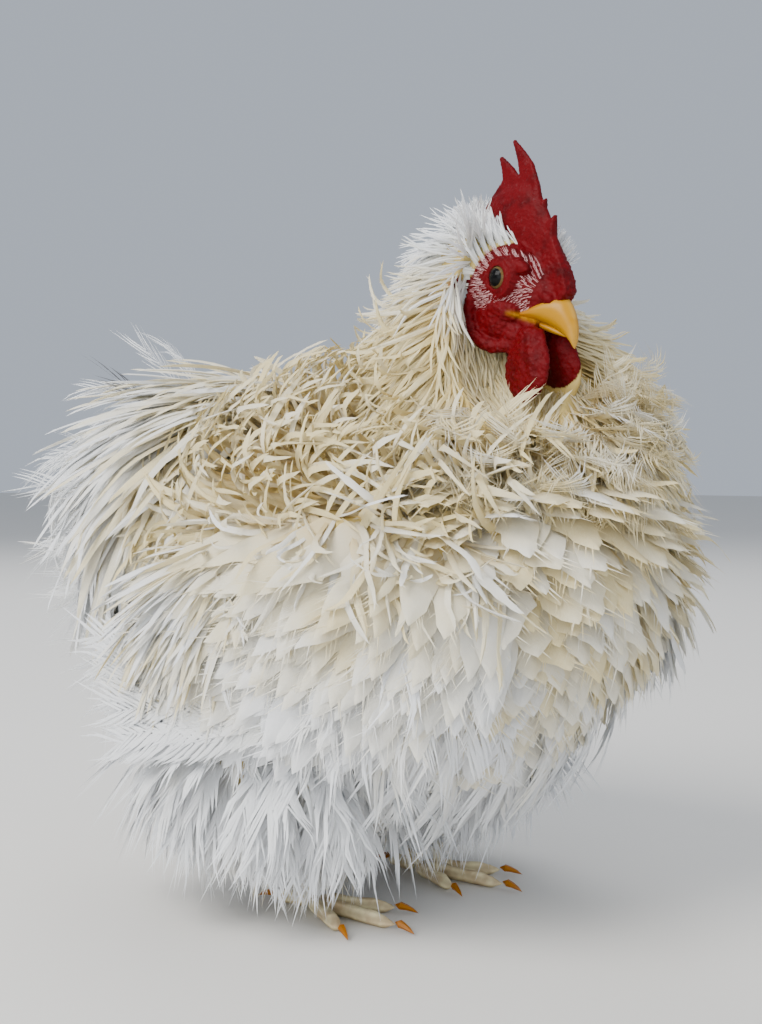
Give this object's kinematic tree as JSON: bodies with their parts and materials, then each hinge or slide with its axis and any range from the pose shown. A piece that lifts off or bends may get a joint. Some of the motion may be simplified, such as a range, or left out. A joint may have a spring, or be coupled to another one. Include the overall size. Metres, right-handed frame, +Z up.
{
  "type": "frizzle bantam cock, a life-size still model",
  "caption": "Life-size standing frizzle bantam cock with cream and white curled plumage, a red comb, wattles and face, a yellow beak and feathered feet.",
  "frame": {"origin": "middle of the bird's box, on the floor that it stands on", "axes": "+X is ahead along the body, +Y is the bird's left side, +Z is up"},
  "size_m": [0.2878, 0.2074, 0.2837],
  "materials": {
    "cream_plumage": "soft curled feathers, cream with yellower tips and shadows",
    "white_plumage": "soft fluffy white feathers",
    "red_skin": "finely pebbled bare red skin",
    "horn": "smooth yellow horn",
    "scaled_legs": "dusty yellow scales",
    "eye": "wet brown iris with a black pupil"
  },
  "bodies": {
    "root": {"neck": "cream_plumage", "wing_right": "cream_plumage", "wing_left": "cream_plumage", "saddle": "cream_plumage", "trunk": "cream_plumage", "tail": "white_plumage", "thigh_right": "white_plumage", "thigh_left": "white_plumage", "foot_plumes_right": "white_plumage", "foot_plumes_left": "white_plumage", "head": "red_skin", "comb": "red_skin", "wattle_right": "red_skin", "wattle_left": "red_skin", "ear_lobe_right": "red_skin", "ear_lobe_left": "red_skin", "beak_upper": "horn", "beak_lower": "horn", "claw_inner_right": "horn", "claw_middle_right": "horn", "claw_outer_right": "horn", "claw_hind_right": "horn", "claw_inner_left": "horn", "claw_middle_left": "horn", "claw_outer_left": "horn", "claw_hind_left": "horn", "foot_right": "scaled_legs", "foot_left": "scaled_legs", "eye_right": "eye", "eye_left": "eye"}
  },
  "joints": []
}
